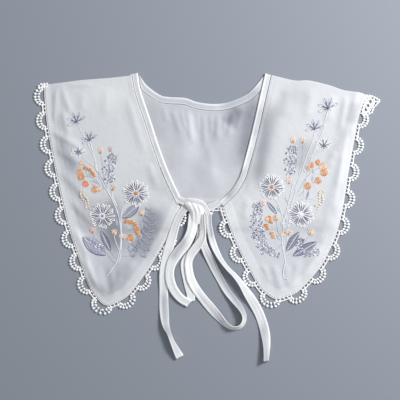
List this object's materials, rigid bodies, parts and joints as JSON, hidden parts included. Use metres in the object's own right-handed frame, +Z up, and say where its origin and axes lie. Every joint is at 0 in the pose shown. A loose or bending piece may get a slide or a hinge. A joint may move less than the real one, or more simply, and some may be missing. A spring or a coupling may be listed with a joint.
{
  "type": "detachable lace-edged collar",
  "caption": "Sheer white shawl-style collar with scalloped lace edges and embroidered pointed fronts, laid flat with its neck ties in a bow.",
  "frame": {"origin": "middle of the laid-out collar's outline, on the surface that it lies on", "axes": "+X to the right of the collar as seen from above, +Y from the tie ends towards the shoulder folds, +Z up from the surface"},
  "size_m": [0.4155, 0.3456, 0.011],
  "materials": {
    "sheer_cloth": "sheer plain-weave cloth, two layers, soft satin sheen",
    "binding_cloth": "bias binding, matt, with two rows of stitching",
    "lace_thread": "matt cotton thread, knotted into beads",
    "tie_cloth": "soft bias-cut cloth, matt"
  },
  "bodies": {
    "root": {"back_panel": "sheer_cloth", "front_left": "sheer_cloth", "front_right": "sheer_cloth", "binding_back": "binding_cloth", "binding_left": "binding_cloth", "binding_right": "binding_cloth", "lace_back": "lace_thread", "lace_left": "lace_thread", "lace_right": "lace_thread", "tie_start_left": "tie_cloth", "tie_start_right": "tie_cloth", "tail_left": "tie_cloth", "tail_right": "tie_cloth", "loop_left_out": "tie_cloth", "loop_left_back": "tie_cloth", "loop_right_out": "tie_cloth", "loop_right_back": "tie_cloth", "knot": "tie_cloth"}
  },
  "joints": []
}
